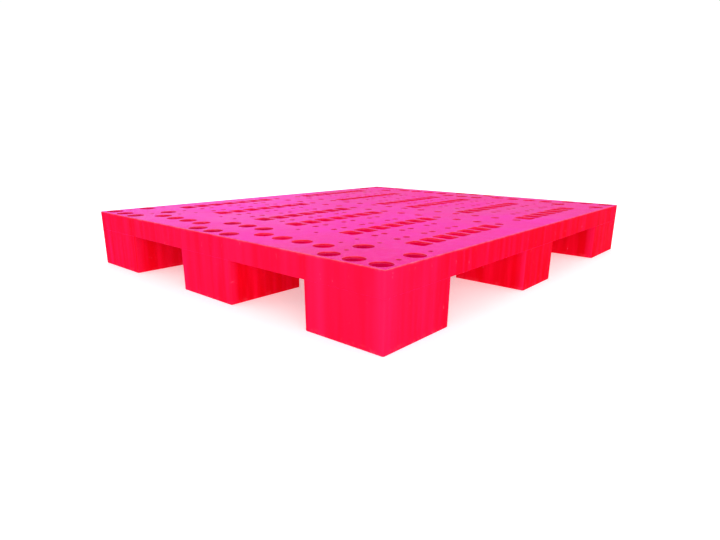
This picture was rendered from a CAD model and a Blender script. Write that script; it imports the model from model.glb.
import bpy
import math
from mathutils import Matrix, Vector


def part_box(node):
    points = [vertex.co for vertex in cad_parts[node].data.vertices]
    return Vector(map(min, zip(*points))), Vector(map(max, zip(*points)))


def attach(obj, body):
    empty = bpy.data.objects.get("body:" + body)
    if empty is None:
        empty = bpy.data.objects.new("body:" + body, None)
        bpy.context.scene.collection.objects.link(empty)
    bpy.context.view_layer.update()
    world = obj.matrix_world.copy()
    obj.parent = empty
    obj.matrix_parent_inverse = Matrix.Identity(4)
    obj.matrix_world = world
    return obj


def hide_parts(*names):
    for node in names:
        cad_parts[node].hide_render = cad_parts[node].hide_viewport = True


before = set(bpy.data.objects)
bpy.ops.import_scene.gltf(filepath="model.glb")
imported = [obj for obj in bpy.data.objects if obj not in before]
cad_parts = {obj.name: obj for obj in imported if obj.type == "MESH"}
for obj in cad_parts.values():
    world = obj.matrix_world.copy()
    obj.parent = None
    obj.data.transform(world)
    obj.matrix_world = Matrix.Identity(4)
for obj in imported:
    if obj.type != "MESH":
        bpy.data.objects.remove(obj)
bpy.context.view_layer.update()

MM = 0.001

# ---------------------------------------------------------------- camera, placed first

CAMERA_PLACE = Vector((0.976238, -1.205539, 0.333419))
CAMERA_AZIMUTH = math.radians(41.048)
CAMERA_ELEVATION = math.radians(13.77)
CAMERA_ROLL = math.radians(-0.418)
CAMERA_LENS = 25.983
SENSOR_WIDTH = 36


def make_camera():
    data = bpy.data.cameras.new("camera")
    data.sensor_width = SENSOR_WIDTH
    data.lens = CAMERA_LENS
    camera = bpy.data.objects.new("camera", data)
    bpy.context.scene.collection.objects.link(camera)
    back = Vector((math.sin(CAMERA_AZIMUTH) * math.cos(CAMERA_ELEVATION),
                   -math.cos(CAMERA_AZIMUTH) * math.cos(CAMERA_ELEVATION),
                   math.sin(CAMERA_ELEVATION)))
    turn = (-back).to_track_quat("-Z", "Y").to_matrix().to_4x4()
    roll = Matrix.Rotation(-CAMERA_ROLL, 4, "Z")
    camera.matrix_world = Matrix.Translation(CAMERA_PLACE) @ turn @ roll
    bpy.context.scene.camera = camera


# ---------------------------------------------------------------- the deck's grid, in metres

deck_low, deck_high = (Vector(corner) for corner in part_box("deck"))
HALF_X, HALF_Y = deck_high.x, deck_high.y
TOP, UNDERSIDE = deck_high.z, deck_low.z
COLUMNS, ROWS = 17, 25
PITCH_X, PITCH_Y = 2 * HALF_X / COLUMNS, 2 * HALF_Y / ROWS

# Rows of openings, counted from the middle, and the columns that each kind of opening takes.
OUTER_ROW, MIDDLE_ROW, INNER_ROW, TUBE_ROW = 12, 11, 10, 9
LAST_BAR_ROW, FIRST_PAIR_ROW, FIRST_BAR_ROW, BAND_ROW = 8, 3, 2, 1
OUTER_HOLES = (0, 1, 6, 7, 8)
MIDDLE_HOLES, MIDDLE_DRAINS = (2, 3, 4, 5), (6, 8)
INNER_HOLES, INNER_DRAINS = (0, 1, 6, 8), (5,)
TUBE_DRAINS = (2, 3, 5, 6, 8)
BAR_COLUMNS, PAIR_COLUMNS = (1, 4, 7), (0, 2, 3, 5, 6)
LAST_BAND_COLUMN = 7

EDGE_RIB = 549.5 * MM
OUTER_LINE, MIDDLE_LINE, INNER_LINE = 572.5 * MM, 527 * MM, 480 * MM
TUBE_LINE = TUBE_ROW * PITCH_Y
PLATE = 4 * MM
SKIRT = 4.5 * MM
RIB = 3 * MM
CORNER_RADIUS = 4 * MM
EDGE_RADIUS = 2 * MM
INNER_RADIUS = 1 * MM
DRAFT = math.tan(math.radians(0.87))
BIG_RADIUS, SMALL_RADIUS, DRAIN_RADIUS, PAIR_RADIUS = 21 * MM, 11 * MM, 5 * MM, 7.5 * MM
PAIR_SHIFT = 8 * MM     # how far each hole of a pair is moved from the middle of its cell
BAR_HALF_X, BAR_HALF_Y, BAR_RADIUS = 23.5 * MM, 19.5 * MM, 7 * MM
LIP = 0.9 * MM
UNDER_LIP = 0.4 * MM
SEAM_LIP = 0.25 * MM
TUBE_SIZE, TUBE_HEADROOM = 40 * MM, 0.3 * MM
CHANNEL_ROOF = UNDERSIDE + TUBE_SIZE + TUBE_HEADROOM
BOSS_RADIUS, PILOT_RADIUS, PILOT_DEPTH = 7 * MM, 3 * MM, 34 * MM
BOSS_COLUMNS = (0.5, 6.5, 7.5)
BOSS_LINES = (PITCH_Y, INNER_LINE, OUTER_LINE)

SEGMENTS = 10           # border points along one side of a grid cell
CORNER_STEPS = 3        # of those, steps on half of a rounded corner
LIP_STEPS = 4           # steps round a lip
BEVEL_STEPS = 2
HALVINGS = 30           # steps of the search for a rounded rectangle's edge
PER_METRE = 1e6         # points that agree to a micrometre are one vertex

x_lines = [-HALF_X] + [PITCH_X * (i - COLUMNS / 2) for i in range(1, COLUMNS)] + [HALF_X]
y_lines = ([-HALF_Y, -EDGE_RIB] + [PITCH_Y * (j - ROWS / 2) for j in range(2, ROWS - 1)]
           + [EDGE_RIB, HALF_Y])


class Surface:
    """Gathers faces; points that fall in the same place are one vertex."""

    def __init__(self):
        self.index, self.points, self.faces = {}, [], []

    def vertex(self, x, y, z):
        key = (round(x * PER_METRE), round(y * PER_METRE), round(z * PER_METRE))
        if key not in self.index:
            self.index[key] = len(self.points)
            self.points.append((x, y, z))
        return self.index[key]

    def ring(self, points, z):
        """Vertices of a flat loop of points at one height."""
        return [self.vertex(x, y, z) for x, y in points]

    def face(self, *corners):
        """Face with doubled corners left out; nothing where fewer than three are left."""
        corners = list(dict.fromkeys(corners))
        if len(corners) > 2:
            self.faces.append(corners)

    def strip(self, upper, lower):
        """Quads between two closed rings of the same length."""
        for k in range(len(upper)):
            self.face(upper[k - 1], upper[k], lower[k], lower[k - 1])


def outer_side(side, cell, inset, radius):
    """Points of one cell's outer side on a loop inset from the deck's outline, counterclockwise."""
    along, out = ((HALF_X, HALF_Y), (HALF_Y, HALF_X))[side % 2]
    lines = (x_lines, y_lines)[side % 2]
    along, out = along - inset, out - inset
    start, end = lines[cell], lines[cell + 1]
    straight = SEGMENTS
    arc_before, arc_after = [], []
    arc = [(along - radius + radius * math.sin(a), out - radius + radius * math.cos(a))
           for a in (math.pi / 4 * k / CORNER_STEPS for k in range(1, CORNER_STEPS + 1))]
    if cell == 0:
        start, straight = radius - along, straight - CORNER_STEPS
        arc_before = [(-s, o) for s, o in reversed(arc)]
    if cell == len(lines) - 2:
        end, straight = along - radius, straight - CORNER_STEPS
        arc_after = arc
    middle = [(start + (end - start) * k / straight, out) for k in range(straight + 1)]
    turned = {0: lambda s, o: (s, -o), 1: lambda s, o: (o, s),
              2: lambda s, o: (-s, o), 3: lambda s, o: (-o, -s)}[side]
    return [turned(s, o) for s, o in arc_before + middle + arc_after]


def between(a, b):
    """Evenly spaced points from a to b, both included."""
    return [(a[0] + (b[0] - a[0]) * k / SEGMENTS, a[1] + (b[1] - a[1]) * k / SEGMENTS)
            for k in range(SEGMENTS + 1)]


def cell_border(i, j, inset, radius):
    """Border of a grid cell, counterclockwise from its lower left corner."""
    x0, x1, y0, y1 = x_lines[i], x_lines[i + 1], y_lines[j], y_lines[j + 1]
    last_i, last_j = len(x_lines) - 2, len(y_lines) - 2
    x0 += inset if i == 0 else 0
    x1 -= inset if i == last_i else 0
    y0 += inset if j == 0 else 0
    y1 -= inset if j == last_j else 0
    south = outer_side(0, i, inset, radius) if j == 0 else between((x0, y0), (x1, y0))
    east = outer_side(1, j, inset, radius) if i == last_i else between((x1, y0), (x1, y1))
    north = outer_side(2, last_i - i, inset, radius) if j == last_j else between((x1, y1), (x0, y1))
    west = outer_side(3, last_j - j, inset, radius) if i == 0 else between((x0, y1), (x0, y0))
    return south[:-1] + east[:-1] + north[:-1] + west[:-1]


def outline_loop(inset, radius):
    """Closed loop inset from the deck's outline, with the points of the outer cells' borders."""
    points = []
    for side in range(4):
        for cell in range(len((x_lines, y_lines)[side % 2]) - 1):
            points += outer_side(side, cell, inset, radius)[:-1]
    return points


def round_hole(radius):
    """Distance from the centre to a circle's edge, the same along every direction."""
    return lambda direction, offset: radius + offset


def rounded_hole(half_x, half_y, corner):
    """Distance from the centre to a rounded rectangle's edge along a direction."""
    def reach(direction, offset):
        inner_x, inner_y, r = half_x - corner, half_y - corner, corner + offset
        low, high = 0, half_x + half_y
        for _ in range(HALVINGS):
            middle = (low + high) / 2
            dx = max(abs(direction[0]) * middle - inner_x, 0)
            dy = max(abs(direction[1]) * middle - inner_y, 0)
            low, high = (middle, high) if math.hypot(dx, dy) < r else (low, middle)
        return low
    return reach


def opening_in(column, row):
    """Shape and centre of the opening in one cell; columns and rows count from the middle."""
    c, r, side = abs(column), abs(row), (1 if row > 0 else -1)
    x, y = column * PITCH_X, row * PITCH_Y
    big, drain = round_hole(BIG_RADIUS), round_hole(DRAIN_RADIUS)
    if r == OUTER_ROW and c in OUTER_HOLES:
        return big, (x, side * OUTER_LINE)
    if r == MIDDLE_ROW and c in MIDDLE_HOLES:
        return big, (x, side * MIDDLE_LINE)
    if r == MIDDLE_ROW and c in MIDDLE_DRAINS:
        return drain, (x, side * MIDDLE_LINE)
    if r == INNER_ROW and c in INNER_HOLES:
        return big, (x, side * INNER_LINE)
    if r == INNER_ROW and c in INNER_DRAINS:
        return drain, (x, side * INNER_LINE)
    if r == TUBE_ROW and c in TUBE_DRAINS:
        return drain, (x, y)
    if FIRST_BAR_ROW <= r <= LAST_BAR_ROW and c in BAR_COLUMNS:
        return rounded_hole(BAR_HALF_X, BAR_HALF_Y, BAR_RADIUS), (x, y)
    if FIRST_PAIR_ROW <= r <= LAST_BAR_ROW and c in PAIR_COLUMNS:
        return round_hole(PAIR_RADIUS), (x, y + side * PAIR_SHIFT * (1 if r % 2 else -1))
    if r == BAND_ROW and c <= LAST_BAND_COLUMN:
        return round_hole(SMALL_RADIUS), (x, y)
    return None, None


def plate_cell(surface, i, j):
    """One cell of the plate: top and underside, and the wall and lips of its opening."""
    shape, centre = opening_in(i - COLUMNS // 2, j - ROWS // 2)
    top = surface.ring(cell_border(i, j, EDGE_RADIUS, CORNER_RADIUS - EDGE_RADIUS), TOP)
    ceiling = surface.ring(cell_border(i, j, SKIRT, INNER_RADIUS), TOP - PLATE)
    if shape is None:
        surface.face(*top)
        surface.face(*reversed(ceiling))
        return
    border = [surface.points[v] for v in top]
    directions = [Vector((p[0] - centre[0], p[1] - centre[1])).normalized() for p in border]
    levels = []
    for step in range(LIP_STEPS + 1):
        angle = math.pi / 2 * step / LIP_STEPS
        levels.append((LIP * (1 - math.sin(angle)), TOP - LIP * (1 - math.cos(angle))))
    levels += [(0, TOP - PLATE + UNDER_LIP), (UNDER_LIP, TOP - PLATE)]
    previous = top
    for offset, z in levels:
        points = [(centre[0] + d.x * shape(d, offset), centre[1] + d.y * shape(d, offset))
                  for d in directions]
        current = surface.ring(points, z)
        surface.strip(previous, current)
        previous = current
    surface.strip(previous, ceiling)


def skirt(surface):
    """Outer wall with its rounded top edge, the foot of the skirt and its inner wall."""
    depth = TOP - UNDERSIDE
    profile = []
    for step in range(LIP_STEPS + 1):
        angle = math.pi / 2 * step / LIP_STEPS
        inset = EDGE_RADIUS * (1 - math.sin(angle))
        profile.append((inset, TOP - EDGE_RADIUS * (1 - math.cos(angle)), CORNER_RADIUS - inset))
    foot = depth * DRAFT
    profile.append((foot, UNDERSIDE + SEAM_LIP, CORNER_RADIUS))
    profile.append((foot + SEAM_LIP, UNDERSIDE, CORNER_RADIUS - SEAM_LIP))
    profile.append((SKIRT - UNDER_LIP, UNDERSIDE, INNER_RADIUS))
    profile.append((SKIRT, UNDERSIDE + UNDER_LIP, INNER_RADIUS))
    profile.append((SKIRT, TOP - PLATE, INNER_RADIUS))
    rings = [surface.ring(outline_loop(inset, radius), z) for inset, z, radius in profile]
    for upper, lower in zip(rings, rings[1:]):
        surface.strip(upper, lower)


def new_piece(name, surface, material):
    """Object made from a surface; it belongs to the one body and has one named slot."""
    mesh = bpy.data.meshes.new(name)
    mesh.from_pydata(surface.points, [], surface.faces)
    mesh.validate()
    piece = bpy.data.objects.new(name, mesh)
    bpy.context.scene.collection.objects.link(piece)
    mesh.materials.append(material)
    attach(piece, "root")
    return piece


def smooth_with_weights(piece):
    """Smooth shading in which large flat faces keep their own direction."""
    piece.data.shade_smooth()
    weights = piece.modifiers.new("weights", "WEIGHTED_NORMAL")
    weights.mode = "FACE_AREA"
    weights.weight = 100


def make_deck_shell(material):
    """The plate with its openings and the skirt round it, as one piece."""
    surface = Surface()
    for i in range(len(x_lines) - 1):
        for j in range(len(y_lines) - 1):
            plate_cell(surface, i, j)
    skirt(surface)
    surface.faces = [list(reversed(face)) for face in surface.faces]
    piece = new_piece("deck_shell", surface, material)
    smooth_with_weights(piece)
    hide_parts("deck")


# ---------------------------------------------------------------- ribs under the deck

def prism(surface, outline, lift):
    """Closed prism: an outline of points and the same outline moved by lift."""
    first = [surface.vertex(*p) for p in outline]
    second = [surface.vertex(*(Vector(p) + Vector(lift))) for p in outline]
    surface.face(*reversed(first))
    surface.face(*second)
    for k in range(len(first)):
        surface.face(first[k - 1], first[k], second[k], second[k - 1])


def notched_rib(surface, x):
    """Rib along the pallet, cut away where the three tube channels pass."""
    gap = (PITCH_Y - RIB) / 2
    end, roof = HALF_Y - SKIRT / 2, TOP - PLATE / 2
    lower = [(-end, UNDERSIDE)]
    for line in (-TUBE_LINE, 0, TUBE_LINE):
        lower += [(line - gap, UNDERSIDE), (line - gap, CHANNEL_ROOF)]
        lower += [(line + gap, CHANNEL_ROOF), (line + gap, UNDERSIDE)]
    lower += [(end, UNDERSIDE), (end, roof), (-end, roof)]
    prism(surface, [(x - RIB / 2, y, z) for y, z in lower], (RIB, 0, 0))


def cross_rib(surface, y):
    """Rib across the pallet, from skirt to skirt."""
    end, roof = HALF_X - SKIRT / 2, TOP - PLATE / 2
    outline = [(-end, y - RIB / 2, UNDERSIDE), (end, y - RIB / 2, UNDERSIDE),
               (end, y - RIB / 2, roof), (-end, y - RIB / 2, roof)]
    prism(surface, outline, (0, RIB, 0))


def screw_boss(surface, x, y, turns=24):
    """Round boss with a blind hole in its foot."""
    circle = [(math.cos(2 * math.pi * k / turns), math.sin(2 * math.pi * k / turns))
              for k in range(turns)]
    profile = [(BOSS_RADIUS, TOP - PLATE / 2), (BOSS_RADIUS, UNDERSIDE),
               (PILOT_RADIUS, UNDERSIDE), (PILOT_RADIUS, UNDERSIDE + PILOT_DEPTH)]
    rings = [surface.ring([(x + r * a, y + r * b) for a, b in circle], z) for r, z in profile]
    surface.face(*rings[0])
    for upper, lower in zip(rings, rings[1:]):
        surface.strip(upper, lower)
    surface.face(*reversed(rings[-1]))


def make_deck_ribs(material):
    """Both sets of ribs and the screw bosses, each set as one piece with softened edges."""
    pieces = []
    for name, lines, build in (("deck_ribs_along", x_lines, notched_rib),
                               ("deck_ribs_across", y_lines, cross_rib)):
        surface = Surface()
        for line in lines[1:-1]:
            build(surface, line)
        pieces.append(new_piece(name, surface, material))
    bosses = Surface()
    for column in BOSS_COLUMNS:
        for line in BOSS_LINES:
            for x in (-column * PITCH_X, column * PITCH_X):
                screw_boss(bosses, x, -line)
                screw_boss(bosses, x, line)
    pieces.append(new_piece("deck_screw_bosses", bosses, material))
    for piece in pieces:
        bevel = piece.modifiers.new("soft_edges", "BEVEL")
        bevel.width = UNDER_LIP
        bevel.segments = BEVEL_STEPS
        bevel.limit_method = "ANGLE"
        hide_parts("deck")


# ---------------------------------------------------------------- materials

class Nodes:
    """Short calls for building one material's node tree."""

    def __init__(self, name):
        self.material = bpy.data.materials.new(name)
        self.material.use_nodes = True
        self.tree = self.material.node_tree
        self.tree.nodes.clear()
        self.output = self.tree.nodes.new("ShaderNodeOutputMaterial")

    def add(self, kind, **values):
        node = self.tree.nodes.new("ShaderNode" + kind)
        for key, value in values.items():
            setattr(node, key, value)
        return node

    def link(self, source, target):
        self.tree.links.new(source, target)

    def feed(self, socket, value):
        """Link a node's output to a socket, or set the socket to a constant."""
        if isinstance(value, bpy.types.NodeSocket):
            self.link(value, socket)
        else:
            socket.default_value = value

    def math(self, operation, a, b=0.0, clamp=False):
        node = self.add("Math", operation=operation, use_clamp=clamp)
        self.feed(node.inputs[0], a)
        self.feed(node.inputs[1], b)
        return node.outputs[0]

    def noise(self, place, scale, detail=3.0, roughness=0.5, stretch=None):
        """Noise value; a small number in stretch draws it out along that axis."""
        if stretch:
            mapping = self.add("Mapping")
            mapping.inputs["Scale"].default_value = stretch
            self.link(place, mapping.inputs["Vector"])
            place = mapping.outputs[0]
        node = self.add("TexNoise")
        self.link(place, node.inputs["Vector"])
        node.inputs["Scale"].default_value = scale
        node.inputs["Detail"].default_value = detail
        node.inputs["Roughness"].default_value = roughness
        return node.outputs["Fac"]

    def band(self, value, low, high, to_low=0.0, to_high=1.0):
        """Clamped straight-line map of a value from one range to another."""
        node = self.add("MapRange")
        self.feed(node.inputs["Value"], value)
        limits = {"From Min": low, "From Max": high, "To Min": to_low, "To Max": to_high}
        for key, number in limits.items():
            node.inputs[key].default_value = number
        return node.outputs["Result"]

    def blend(self, amount, a, b):
        """Number that goes from a to b as the amount goes from 0 to 1."""
        return self.math("ADD", a, self.math("MULTIPLY", amount, self.math("SUBTRACT", b, a)))

    def mix(self, amount, a, b):
        """Colour that goes from a to b as the amount goes from 0 to 1."""
        node = self.add("Mix", data_type="RGBA")
        self.feed(node.inputs["Factor"], amount)
        self.feed(node.inputs["A"], a)
        self.feed(node.inputs["B"], b)
        return node.outputs["Result"]

    def bump(self, height, strength, distance, before=None):
        """Normal roughened by a height; before is the normal from the bump underneath."""
        node = self.add("Bump")
        node.inputs["Strength"].default_value = strength
        node.inputs["Distance"].default_value = distance
        self.link(height, node.inputs["Height"])
        if before is not None:
            self.link(before, node.inputs["Normal"])
        return node.outputs[0]

    def shader(self, **values):
        """Finished surface; the keywords are socket names with underscores for spaces."""
        node = self.add("BsdfPrincipled")
        for key, value in values.items():
            self.feed(node.inputs[key.replace("_", " ")], value)
        self.link(node.outputs[0], self.output.inputs["Surface"])


class Places:
    """Where a point lies and which way its face looks, as values for one material."""

    def __init__(self, n):
        coordinates = n.add("TexCoord")
        self.point = coordinates.outputs["Object"]
        place = n.add("SeparateXYZ")
        n.link(self.point, place.inputs[0])
        self.x, self.y, self.z = place.outputs
        normal = n.add("SeparateXYZ")
        n.link(coordinates.outputs["Normal"], normal.inputs[0])
        self.upward = normal.outputs["Z"]
        self.on_top = n.band(self.upward, 0.5, 0.9)
        self.on_side = n.band(n.math("ABSOLUTE", self.upward), 0.3, 0.1)
        self.on_x_side = n.band(n.math("ABSOLUTE", normal.outputs["X"]), 0.6, 0.9)


RED = (0.80, 0.001, 0.012, 1)
DEEP_RED = (0.62, 0.001, 0.006, 1)
STREAK_RED = (0.84, 0.003, 0.03, 1)
BLOOM_RED = (0.80, 0.007, 0.06, 1)
FADED_RED = (0.78, 0.006, 0.07, 1)
WORN_RED = (0.90, 0.15, 0.28, 1)
GRIME = (0.30, 0.004, 0.03, 1)
PLATE_GLOW = (0.15, 0.0, 0.05, 1)
GLOSS_TINT = (1.0, 0.1, 1.0, 1)
SHEEN_TINT = (0.8, 0.07, 1.0, 1)
PLASTIC_IOR = 1.4
TOP_GLOSS, SIDE_GLOSS = 0.03, 0.004
SHEEN_ROUGHNESS = 0.3

STREAK_AMOUNT, GRIME_AMOUNT = 0.9, 0.75
SCRATCH_WEAR, SCUFF_WEAR, LIP_WEAR, EDGE_WEAR = 0.4, 0.3, 0.8, 0.85
EDGE_REACH, CREVICE_REACH = 2.5 * MM, 16 * MM
SEAM_CLEAR, SEAM_FADE = 3 * MM, 8 * MM      # edge wear fades in between these distances
RIM_DEPTH = 40 * MM                         # how far under the deck the sun reaches
SINK_WIDTH, SINK_DEPTH = 7 * MM, 0.6 * MM
WARP_DEPTH, PEBBLE_DEPTH, GRAIN_DEPTH, SCRATCH_DEPTH = 6 * MM, 0.7 * MM, 0.4 * MM, 0.4 * MM


def worn_edges(n):
    """1 along convex and concave edges, 0 on flat faces."""
    rounded = n.add("Bevel", samples=4)
    rounded.inputs["Radius"].default_value = EDGE_REACH
    dot = n.add("VectorMath", operation="DOT_PRODUCT")
    n.link(rounded.outputs[0], dot.inputs[0])
    n.link(n.add("NewGeometry").outputs["Normal"], dot.inputs[1])
    return n.band(dot.outputs["Value"], 0.99, 0.88)


def worn_lips(n, at):
    """1 where a rounding leans half-way between level and upright, 0 on level and upright faces."""
    squared = n.math("MULTIPLY", at.upward, at.upward)
    lean = n.math("MULTIPLY", squared, n.math("SUBTRACT", 1.0, squared))
    return n.band(lean, 0.04, 0.2)


def crevices(n):
    """1 deep in holes and corners of one piece, 0 on open faces."""
    shade = n.add("AmbientOcclusion", samples=6, only_local=True)
    shade.inputs["Distance"].default_value = CREVICE_REACH
    return n.band(shade.outputs["AO"], 0.95, 0.45)


def rib_lines(n, coordinate, pitch):
    """1 on the lines half a pitch from the middle, fading to 0 a sink mark's width from them."""
    distance = n.math("PINGPONG", n.math("ADD", coordinate, pitch / 2), pitch / 2)
    return n.band(distance, 0.0, SINK_WIDTH, 1.0, 0.0)


def weathering(n, at):
    """How strongly the sun has bloomed the plastic: most near one corner, least on inner faces."""
    rim_x = n.band(n.math("ABSOLUTE", at.x), HALF_X - RIM_DEPTH, HALF_X - RIM_DEPTH / 4)
    rim_y = n.band(n.math("ABSOLUTE", at.y), HALF_Y - RIM_DEPTH, HALF_Y - RIM_DEPTH / 4)
    rim = n.blend(n.math("MAXIMUM", rim_x, rim_y), 0.2, 1.0)
    on_y_sides = n.band(at.x, -HALF_X, HALF_X, 0.9, 1.6)
    on_x_sides = n.band(at.y, -HALF_Y, 0.0, 1.4, 0.15)
    on_sides = n.math("MULTIPLY", n.blend(at.on_x_side, on_y_sides, on_x_sides), rim)
    elsewhere = n.band(at.y, HALF_Y, -HALF_Y / 2, 0.5, 1.0)
    return n.blend(at.on_side, elsewhere, on_sides)


def light_through_plate(n, at):
    """Strength of the light that soaks through the plate into the cells between the ribs."""
    inside_x = n.band(n.math("ABSOLUTE", at.x), HALF_X - SKIRT / 2, HALF_X - SKIRT)
    inside_y = n.band(n.math("ABSOLUTE", at.y), HALF_Y - SKIRT / 2, HALF_Y - SKIRT)
    under_plate = n.band(at.z, TOP - LIP, TOP - PLATE)
    depth = n.math("MULTIPLY", n.band(at.z, UNDERSIDE, TOP - PLATE), under_plate)
    return n.math("MULTIPLY", n.math("MULTIPLY", inside_x, inside_y), depth)


def clean_colour(n, at, cloud, streaks, weathered):
    """Colour before wear and dirt: clouded red, upright streaks, bloomed sides and a faded top."""
    flow = n.noise(at.point, scale=14, detail=3, roughness=0.6, stretch=(1, 1, 0.25))
    tone = n.math("ADD", n.math("MULTIPLY", cloud, 0.6), n.math("MULTIPLY", flow, 0.4))
    colour = n.mix(n.band(tone, 0.35, 0.65), DEEP_RED, RED)
    colour = n.mix(n.math("MULTIPLY", streaks, STREAK_AMOUNT), colour, STREAK_RED)
    wide_streak = n.noise(at.point, scale=16, detail=2, roughness=0.5, stretch=(1, 1, 0.05))
    wide_streak = n.band(wide_streak, 0.38, 0.62, 0.45, 1.3)
    bloom = n.math("MULTIPLY", n.band(weathered, 0.9, 1.6), wide_streak)
    colour = n.mix(n.math("MULTIPLY", bloom, at.on_side, clamp=True), colour, BLOOM_RED)
    fade = n.math("MULTIPLY", at.on_top, n.band(tone, 0.35, 0.65, 0.55, 1.0))
    return n.mix(fade, colour, FADED_RED)


def scratch_lines(n, at):
    """1 on thin scratches that run across and along the pallet."""
    across = n.noise(at.point, scale=38, detail=6, roughness=0.7, stretch=(0.12, 2.2, 1))
    along = n.noise(at.point, scale=34, detail=6, roughness=0.7, stretch=(2.2, 0.12, 1))
    return n.math("MAXIMUM", n.band(across, 0.66, 0.72), n.band(along, 0.67, 0.73))


def wear_amount(n, at, scratches, wear_low, wear_high):
    """Scratches, scuffs between two heights, and worn edges that spare the seam."""
    blotch = n.noise(at.point, scale=60, detail=5, roughness=0.7)
    scuff = n.math("MULTIPLY", n.band(blotch, 0.5, 0.75), n.band(at.z, wear_low, wear_high))
    lips = n.math("MULTIPLY", worn_lips(n, at), LIP_WEAR)
    edge = n.math("MAXIMUM", worn_edges(n), lips)
    edge = n.math("MULTIPLY", edge, n.band(blotch, 0.35, 0.6, 0.35, 1.0))
    seam_distance = n.math("ABSOLUTE", n.math("SUBTRACT", at.z, UNDERSIDE))
    edge = n.math("MULTIPLY", edge, n.band(seam_distance, SEAM_CLEAR, SEAM_FADE))
    scratched = n.math("MULTIPLY", scratches, SCRATCH_WEAR)
    wear = n.math("MAXIMUM", scratched, n.math("MULTIPLY", scuff, SCUFF_WEAR))
    return n.math("MAXIMUM", wear, n.math("MULTIPLY", edge, EDGE_WEAR), clamp=True)


def moulded_relief(n, at, scratches):
    """Normal with slow warp, sink marks over the ribs, pebbling, fine grain and scratches."""
    sink_x = n.math("MULTIPLY", rib_lines(n, at.y, PITCH_Y), at.on_x_side)
    sink_y = n.math("MULTIPLY", rib_lines(n, at.x, PITCH_X), n.math("SUBTRACT", 1.0, at.on_x_side))
    sink = n.math("MULTIPLY", n.math("ADD", sink_x, sink_y), at.on_side)
    warp = n.noise(at.point, scale=9, detail=2, roughness=0.4)
    pebble = n.noise(at.point, scale=420, detail=3, roughness=0.5)
    grain = n.noise(at.point, scale=1400, detail=2, roughness=0.6)
    normal = n.bump(warp, 0.4, WARP_DEPTH)
    normal = n.bump(n.math("MULTIPLY", sink, -1.0), 0.3, SINK_DEPTH, normal)
    normal = n.bump(pebble, 0.35, PEBBLE_DEPTH, normal)
    normal = n.bump(grain, 0.30, GRAIN_DEPTH, normal)
    return n.bump(scratches, 0.25, SCRATCH_DEPTH, normal)


def plastic_roughness(n, at, cloud, wear):
    """Clouded, rougher where worn, and matt on upright faces."""
    roughness = n.math("ADD", n.band(cloud, 0.3, 0.7, 0.38, 0.5), n.math("MULTIPLY", wear, 0.25))
    return n.math("ADD", roughness, n.math("MULTIPLY", at.on_side, 0.17))


def plastic_sheen(n, at, cloud, streaks, weathered):
    """Bloom that shows at a low angle: clouded, in streaks on the sides, strongest on top."""
    sheen = n.math("ADD", n.math("MULTIPLY", streaks, 0.35), n.band(cloud, 0.3, 0.7, 0.3, 0.5))
    sheen = n.math("ADD", sheen, n.math("MULTIPLY", at.on_top, 0.3))
    return n.math("MULTIPLY", sheen, weathered)


def pallet_plastic(name, wear_low, wear_high):
    """Red moulded polyolefin; scuffing fades in from height wear_low to height wear_high."""
    n = Nodes(name)
    at = Places(n)
    cloud = n.noise(at.point, scale=5, detail=4, roughness=0.55)
    streak = n.noise(at.point, scale=42, detail=3, roughness=0.55, stretch=(1, 1, 0.07))
    streaks = n.math("MULTIPLY", n.band(streak, 0.42, 0.68), at.on_side)
    weathered = weathering(n, at)
    scratches = scratch_lines(n, at)
    wear = wear_amount(n, at, scratches, wear_low, wear_high)
    colour = n.mix(wear, clean_colour(n, at, cloud, streaks, weathered), WORN_RED)
    colour = n.mix(n.math("MULTIPLY", crevices(n), GRIME_AMOUNT), colour, GRIME)
    n.shader(Base_Color=colour,
             Roughness=plastic_roughness(n, at, cloud, wear),
             Normal=moulded_relief(n, at, scratches),
             IOR=PLASTIC_IOR,
             Specular_IOR_Level=n.band(at.on_side, 0.0, 1.0, TOP_GLOSS, SIDE_GLOSS),
             Specular_Tint=GLOSS_TINT,
             Sheen_Weight=plastic_sheen(n, at, cloud, streaks, weathered),
             Sheen_Roughness=SHEEN_ROUGHNESS,
             Sheen_Tint=SHEEN_TINT,
             Emission_Color=PLATE_GLOW,
             Emission_Strength=light_through_plate(n, at))
    return n.material


DULL_ZINC, BRIGHT_ZINC = (0.42, 0.43, 0.45, 1), (0.62, 0.64, 0.66, 1)
SPANGLES_PER_METRE = 160
DRAWING_DEPTH = 0.3 * MM


def zinc_steel(name, along):
    """Galvanised steel with spangle and drawing lines along one axis."""
    n = Nodes(name)
    place = n.add("TexCoord").outputs["Object"]
    cells = n.add("TexVoronoi", feature="F1")
    cells.inputs["Scale"].default_value = SPANGLES_PER_METRE
    n.link(place, cells.inputs["Vector"])
    spangle = n.add("SeparateColor")
    n.link(cells.outputs["Color"], spangle.inputs[0])
    lines = n.noise(place, scale=220, detail=3, roughness=0.6, stretch=along)
    colour = n.mix(n.band(spangle.outputs[0], 0, 1), DULL_ZINC, BRIGHT_ZINC)
    roughness = n.band(spangle.outputs[1], 0, 1, 0.28, 0.42)
    roughness = n.math("ADD", roughness, n.math("MULTIPLY", lines, 0.12))
    n.shader(Base_Color=colour, Metallic=1.0, Roughness=roughness,
             Normal=n.bump(lines, 0.12, DRAWING_DEPTH))
    return n.material


FLOOR_GREY, FLOOR_WHITE = (0.93, 0.93, 0.94, 1), (0.95, 0.95, 0.95, 1)
FLOOR_GLOW = 0.35
GLOW_WHITE = (1, 1, 1, 1)


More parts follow.
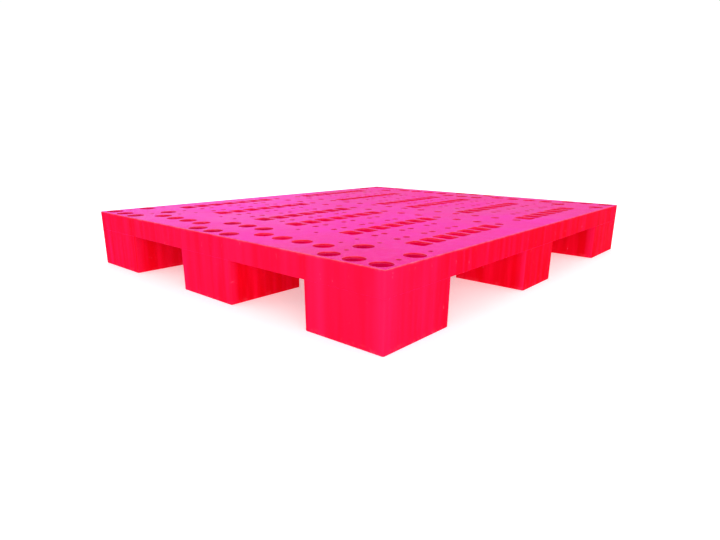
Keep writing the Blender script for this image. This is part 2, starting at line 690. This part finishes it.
def floor_material():
    """Pale floor that is faintly lit from below, like a studio light table."""
    n = Nodes("studio_floor")
    place = n.add("TexCoord").outputs["Object"]
    tone = n.noise(place, scale=2, detail=3, roughness=0.5)
    colour = n.mix(n.band(tone, 0.3, 0.7), FLOOR_GREY, FLOOR_WHITE)
    n.shader(Base_Color=colour, Roughness=0.7, Emission_Color=GLOW_WHITE, Emission_Strength=FLOOR_GLOW)
    return n.material


def dress_frame_nodes(block_plastic, tube_steel, screw_steel):
    """Give the frame's own blocks, tubes and screws their finished materials."""
    for name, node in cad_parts.items():
        if name == "deck":
            continue
        material = block_plastic
        if name.startswith("tube"):
            material = tube_steel
        elif name.startswith("block_screws"):
            material = screw_steel
        if not node.material_slots:
            node.data.materials.append(material)
        for slot in node.material_slots:
            slot.material = material


# ---------------------------------------------------------------- floor and light

FLOOR_GAP = 0.1 * MM
FLOOR_REACH = 60        # metres each way, so that no edge of the floor shows
WORLD_STRENGTH = 1.02
DECK_CENTRE, FRONT_AIM = (0, 0, 0.1), (0, 0, 0.08)
PALE_BLUE = (0.55, 0.7, 1.0)


def make_floor():
    mesh = bpy.data.meshes.new("floor")
    reach = FLOOR_REACH
    corners = [(-reach, -reach), (reach, -reach), (reach, reach), (-reach, reach)]
    mesh.from_pydata([(x, y, -FLOOR_GAP) for x, y in corners], [], [(0, 1, 2, 3)])
    mesh.materials.append(floor_material())
    floor = bpy.data.objects.new("floor", mesh)
    bpy.context.scene.collection.objects.link(floor)


def make_light(name, place, aim, width, height, watts, colour=(1, 1, 1)):
    """Soft rectangular light at a place, turned towards a point."""
    data = bpy.data.lights.new(name, "AREA")
    data.shape = "RECTANGLE"
    data.size, data.size_y = width, height
    data.energy = watts
    data.color = colour
    light = bpy.data.objects.new(name, data)
    light.visible_camera = False
    bpy.context.scene.collection.objects.link(light)
    direction = Vector(aim) - Vector(place)
    light.matrix_world = (Matrix.Translation(Vector(place))
                          @ direction.to_track_quat("-Z", "Y").to_matrix().to_4x4())


def make_lights():
    world = bpy.data.worlds.new("studio")
    world.use_nodes = True
    background = world.node_tree.nodes["Background"]
    background.inputs["Color"].default_value = (1.0, 1.0, 1.0, 1)
    background.inputs["Strength"].default_value = WORLD_STRENGTH
    bpy.context.scene.world = world
    make_light("front_light", (2.9, -2.7, 0.75), FRONT_AIM, width=3.0, height=1.2, watts=66)
    make_light("top_light", (-0.5, 1.2, 3.2), DECK_CENTRE, width=3.0, height=3.0, watts=12)
    make_light("window_light", (-3.4, 1.4, 1.1), DECK_CENTRE, width=2.4, height=1.2, watts=14,
               colour=PALE_BLUE)
    view = bpy.context.scene.view_settings
    view.view_transform = "Standard"
    view.look = "None"


# ---------------------------------------------------------------- scene

DECK_SCUFF, FOOT_SCUFF = 6 * MM, 12 * MM    # depth of the scuffed zones, from the top and the ground

make_camera()
deck_plastic = pallet_plastic("deck_plastic", TOP - DECK_SCUFF, TOP)
block_plastic = pallet_plastic("block_plastic", FOOT_SCUFF, 0.0)
tube_steel = zinc_steel("tube_steel", along=(0.05, 1, 1))
screw_steel = zinc_steel("screw_steel", along=(1, 1, 1))
make_deck_shell(deck_plastic)
make_deck_ribs(deck_plastic)
dress_frame_nodes(block_plastic, tube_steel, screw_steel)
make_floor()
make_lights()
